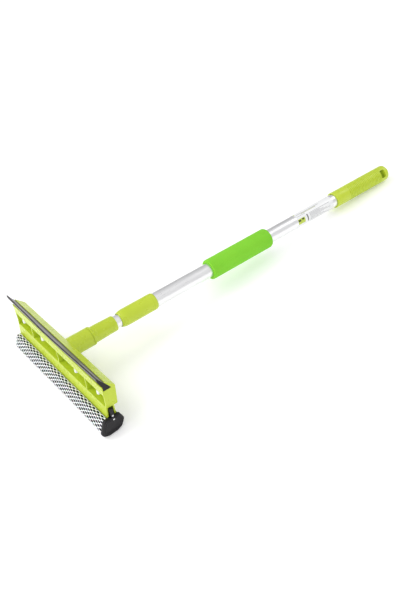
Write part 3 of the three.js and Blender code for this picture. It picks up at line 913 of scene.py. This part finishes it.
def rivet(number, z, depth):
    """A domed rivet head with its shank inside, seated at a depth from the cap's face."""
    seat = CAP_FACE - depth
    profile = [(SHANK_RADIUS, SHANK_START), (SHANK_RADIUS, seat - 0.1),
               (RIVET_RADIUS, seat - 0.1), (RIVET_RADIUS, seat + 0.15)]
    for k in range(1, 7):
        angle = math.radians(15 * k)
        profile.append((RIVET_RADIUS * math.cos(angle),
                        seat + 0.15 + RIVET_DOME * math.sin(angle)))
    profile.append((0.0, SHANK_START))

    def place(radius, x, angle):
        return x, RIVET_Y + radius * math.cos(angle), z + radius * math.sin(angle)

    head = spun(f"rivet_{number}", profile, 28, place)
    stand_in(head, "cartridge", STEEL, f"cap_rivet_{number}")


# ---- Pole --------------------------------------------------------------------------------

def adapter_shell():
    """The adapter: a spigot in the neck's socket, a flange and a sleeve on the inner tube."""
    bore = INNER_RADIUS + 0.3
    flange = NECK_END + 0.3
    profile = [(0.0, ADAPTER_START), (SOCKET_RADIUS - 1.1, ADAPTER_START),
               (SOCKET_RADIUS - 0.3, ADAPTER_START + 1.5), (SOCKET_RADIUS - 0.3, flange),
               (NECK_RADIUS - 0.4, flange)]
    profile += arc(NECK_RADIUS - 0.4, flange + 0.4, 0.4, -90, 0)
    profile += arc(NECK_RADIUS - 0.9, flange + 1.9, 0.9, 0, 70)
    profile += [(10.5, flange + 3.4), (10.25, flange + 4.4)]
    profile += arc(9.55 - 0.9, ADAPTER_END - 0.9, 0.9, 5, 90)
    profile += [(bore, ADAPTER_END), (bore, INNER_START - 0.3), (0.0, INNER_START - 0.3)]
    shell = lathe("adapter_shell", profile)
    stand_in(shell, "extension", LIME, "pole_adapter")


def tube(name, radius, start, end, body, node):
    """A tube with small chamfers at its outer ends."""
    inner = radius - TUBE_WALL
    profile = [(inner, start), (radius - TUBE_CHAMFER, start), (radius, start + TUBE_CHAMFER)]
    profile += [(radius, start + TUBE_CHAMFER + (end - start - 2 * TUBE_CHAMFER) * k / TUBE_STEPS)
                for k in range(1, TUBE_STEPS + 1)]
    profile += [(radius - TUBE_CHAMFER, end), (inner, end)]
    stand_in(lathe(name, profile), body, ALUMINIUM, node)


def collar_shell():
    """The twist collar: a rounded nose, a long plain body, a shallow groove and a rear bead."""
    bore, seat = INNER_RADIUS + 0.4, OUTER_RADIUS + 0.35
    groove = COLLAR_END - 6.0
    profile = [(bore, COLLAR_START + 0.2), (bore + 0.3, COLLAR_START)]
    profile += [(8.9, COLLAR_START + 0.35), (9.55, COLLAR_START + 1.6),
                (10.1, COLLAR_START + 3.4), (10.45, COLLAR_START + 5.4),
                (10.67, COLLAR_START + 7.6), (COLLAR_RADIUS, COLLAR_START + 9.8)]
    profile += [(COLLAR_RADIUS, groove - 0.7), (COLLAR_RADIUS - 0.28, groove - 0.35),
                (COLLAR_RADIUS - 0.28, groove + 0.1), (COLLAR_RADIUS, groove + 0.45),
                (COLLAR_RADIUS, COLLAR_END - 3.4)]
    profile += arc(COLLAR_RADIUS - 2.2, COLLAR_END - 2.2, 2.2, 0, 62, 7)
    profile += [(seat + 0.15, COLLAR_END), (seat, COLLAR_END - 0.15),
                (seat, COLLAR_SEAT), (bore, COLLAR_SEAT)]
    shell = lathe("collar_shell", profile)
    stand_in(shell, "handle", LIME, "lock_collar")


def foam_sleeve():
    """The foam sleeve, with soft ends and a slightly uneven skin."""
    bore = OUTER_RADIUS + 0.12
    core = FOAM_RADIUS - FOAM_ROUND
    steps = 110
    profile = [(bore, FOAM_START + 0.5)]
    profile += arc(core, FOAM_START + FOAM_ROUND, FOAM_ROUND, -90, 0, 8)
    span = FOAM_END - FOAM_START - 2 * FOAM_ROUND
    profile += [(FOAM_RADIUS, FOAM_START + FOAM_ROUND + span * k / steps)
                for k in range(1, steps)]
    profile += arc(core, FOAM_END - FOAM_ROUND, FOAM_ROUND, 0, 90, 8)
    profile += [(bore, FOAM_END - 0.5)]
    sleeve = lathe("foam_sleeve", profile, 120)
    for vertex in sleeve.data.vertices:
        local = POLE_INVERSE @ vertex.co
        radius = math.hypot(local.x, local.z)
        if radius < bore + 0.5:
            continue
        wander = noise.noise(Vector((local.x * 0.11, local.y * 0.045, local.z * 0.11)))
        grain = noise.noise(Vector((local.x * 0.9, local.y * 0.9, local.z * 0.9)))
        factor = 1 + (0.16 * wander + 0.035 * grain - 0.08) / radius
        local.x *= factor
        local.z *= factor
        vertex.co = POLE @ local
    stand_in(sleeve, "handle", FOAM, "foam_grip")


def grip_shell():
    """The end grip: a plain band, rounded ribs, a domed end and the slot to hang it by."""
    bore = OUTER_RADIUS + 0.25
    profile = [(bore, GRIP_START + 0.4), (bore + 0.3, GRIP_START)]
    profile += arc(GRIP_RADIUS - 0.5, GRIP_START + 0.5, 0.5, -90, 0, 4)
    profile += [(GRIP_RADIUS, RIBS_START - 8), (GRIP_RADIUS, RIBS_START - 0.8)]
    groove = ((0.0, 0.0), (0.26, 0.12), (0.4, 1.0), (0.6, 1.0), (0.74, 0.12))
    for i in range(RIB_COUNT):
        y = RIBS_START + i * RIB_PITCH
        for share, drop in groove:
            profile.append((GRIP_RADIUS - RIB_DEPTH * drop, y + share * RIB_PITCH))
    profile += [(GRIP_RADIUS, GRIP_FOOT - 1.0)]
    corner = 5.0
    for k in range(1, 11):
        angle = math.radians(9 * k)
        profile.append((GRIP_RADIUS - corner + corner * math.cos(angle),
                        GRIP_END - GRIP_DOME + GRIP_DOME * math.sin(angle)))
    profile += [(0.0, GRIP_END), (0.0, OUTER_END + 0.3), (bore, OUTER_END + 0.3)]
    shell = lathe("grip_shell", profile, 96)
    combine(shell, slot_cutter(), "DIFFERENCE")
    smooth(shell, 38)
    stand_in(shell, "handle", LIME, "end_grip")


def slot_cutter():
    """A round-cornered bar through the grip, turned as the slot is."""
    turn = Matrix.Rotation(math.radians(SLOT_TURN), 3, "Y")
    half_x, half_y = SLOT_ACROSS / 2, SLOT_ALONG / 2
    corners = rounded([(-half_x, -half_y), (half_x, -half_y), (half_x, half_y),
                       (-half_x, half_y)], 1.1, 5)
    reach = 20.0             # past the grip on both sides
    verts = []
    for z in (-reach, reach):
        verts += [turn @ Vector((x, y, z)) + Vector((0, SLOT_Y, 0)) for x, y in corners]
    count = len(corners)
    return make("slot", verts, end_faces(count, count) + ring_faces(0, count, count))


def label_film():
    """A thin film round the tube, not quite closed, with a lifted seam."""
    inner = OUTER_RADIUS + 0.04
    sides, rows = 110, 40
    gap, seam = math.radians(9), math.radians(210)
    verts, faces, coords = [], [], []
    for k in range(sides + 1):
        share = k / sides
        angle = gap / 2 + (2 * math.pi - gap) * share + seam
        lift = 0.10 * math.exp(-((1 - share) / 0.015) ** 2)
        for j in range(rows + 1):
            y = LABEL_START + (LABEL_END - LABEL_START) * j / rows
            wrinkle = 0.025 * noise.noise(Vector((share * 9, y * 0.12, 2.0)))
            radius = inner + lift + max(0.0, wrinkle)
            verts.append((radius * math.sin(angle), y, radius * math.cos(angle)))
            coords.append((share, j / rows))
    width = rows + 1
    for k in range(sides):
        for j in range(rows):
            a = k * width + j
            faces.append([a, a + width, a + width + 1, a + 1])
    film = make("label_film", verts, faces)
    layer = film.data.uv_layers.new(name="film")
    for loop in film.data.loops:
        layer.data[loop.index].uv = coords[loop.vertex_index]
    thicken(film, 0.12, 1.0)
    bake(film)
    smooth(film, 50)
    stand_in(film, "handle", label_material(), "label_wrap")


# ---- CAD pieces that keep their own mesh -------------------------------------------------

def finish_cad(name, material, width=0.25):
    """Gives a CAD piece its material and rounds its edges with modifiers."""
    obj = frame["nodes"][name]
    obj.data.materials.clear()
    obj.data.materials.append(material)
    add_bevel(obj, width, 40)
    obj.modifiers.new("weighted_normals", "WEIGHTED_NORMAL")


# ---- Stage -------------------------------------------------------------------------------

# The camera stands where the fitted view puts it, in the pole's frame and in millimetres.
CAMERA_PLACE = Vector((608.8, -218.2, 527.4))
CAMERA_RIGHT = Vector((0.62449, 0.77398, -0.10475))
CAMERA_AHEAD = Vector((-0.65546, 0.44642, -0.60916))
LENS = 43.2                  # millimetres, on a 36 mm film height
FLOOR_HALF = 6.0             # metres


def camera():
    """The scene's camera, with its axes made square to each other."""
    data = bpy.data.cameras.new("camera")
    data.sensor_fit = "AUTO"
    data.sensor_width = 36.0
    data.lens = LENS
    obj = link("camera", data)
    right = (TURN @ CAMERA_RIGHT).normalized()
    back = -(TURN @ CAMERA_AHEAD).normalized()
    up = back.cross(right).normalized()
    right = up.cross(back)
    turn = Matrix((right, up, back)).transposed().to_4x4()
    obj.matrix_world = Matrix.Translation(POLE @ CAMERA_PLACE) @ turn
    bpy.context.scene.camera = obj


def area_light(name, place, target, size, power):
    """A round soft light; place, target and size in metres, power in watts."""
    data = bpy.data.lights.new(name, "AREA")
    data.shape = "DISK"
    data.size = size
    data.energy = power
    obj = link(name, data)
    obj.location = place
    obj.rotation_euler = (Vector(target) - Vector(place)).to_track_quat("-Z", "Y").to_euler()


def studio():
    """A pale floor, a pale room and three soft lights."""
    mesh = bpy.data.meshes.new("floor")
    half = FLOOR_HALF
    mesh.from_pydata([(-half, -half, 0), (half, -half, 0), (half, half, 0), (-half, half, 0)],
                     [], [(0, 1, 2, 3)])
    floor = link("floor", mesh)
    s = Shader("studio_floor", Roughness=0.9)
    soft = s.noise(3.0, detail=2.0)
    s.set("Base_Color", s.mix(soft, colour(0.94, 0.94, 0.94), colour(0.97, 0.97, 0.97)))
    s.set("Emission_Color", colour(1, 1, 1))
    s.set("Emission_Strength", 0.16)
    mesh.materials.append(s.material)
    studio_world()
    area_light("key", (-0.9, -1.0, 1.5), (0, -0.05, 0), 1.2, 11.0)
    area_light("rim", (0.2, 1.6, 1.2), (0, 0, 0), 0.9, 4.0)
    area_light("front", (0.3, -1.5, 0.55), (0, -0.2, 0.03), 0.7, 3.5)
    bpy.context.scene.view_settings.view_transform = "Standard"


def studio_world():
    """A pale room, brightest above and on the camera's side, and greyer behind the pole."""
    world = bpy.data.worlds.new("studio")
    world.use_nodes = True
    tree = world.node_tree
    direction = tree.nodes.new("ShaderNodeTexCoord").outputs["Generated"]
    facing = tree.nodes.new("ShaderNodeVectorMath")
    facing.operation = "DOT_PRODUCT"
    facing.inputs[1].default_value = (0.4, -0.62, 0.6)
    tree.links.new(direction, facing.inputs[0])
    strength = tree.nodes.new("ShaderNodeMapRange")
    strength.inputs["From Min"].default_value = -0.5
    strength.inputs["From Max"].default_value = 0.6
    strength.inputs["To Min"].default_value = 0.46
    strength.inputs["To Max"].default_value = 0.95
    background = tree.nodes["Background"].inputs
    tree.links.new(facing.outputs["Value"], strength.inputs["Value"])
    tree.links.new(strength.outputs[0], background["Strength"])
    background["Color"].default_value = colour(1, 1, 1)
    bpy.context.scene.world = world


# ---- Assembly ----------------------------------------------------------------------------

camera()
studio()
head_shell()
blade_strip()
sponge_body()
net_sleeve()
cap_shell()
for number, (height, depth) in enumerate(RIVETS, 1):
    rivet(number, height, depth)
adapter_shell()
tube("inner_tube_skin", INNER_RADIUS, INNER_START, INNER_END, "extension", "inner_tube")
tube("outer_tube_skin", OUTER_RADIUS, OUTER_START, OUTER_END, "handle", "outer_tube")
collar_shell()
foam_sleeve()
label_film()
grip_shell()
for number in range(1, 5):
    finish_cad(f"blade_peg_{number}", WHITE, 0.5)
finish_cad("sponge_carrier", BLACK)
for hidden in ("guide_bush", "lock_stud", "expander_sleeve", "cone_nut"):
    finish_cad(hidden, WHITE)
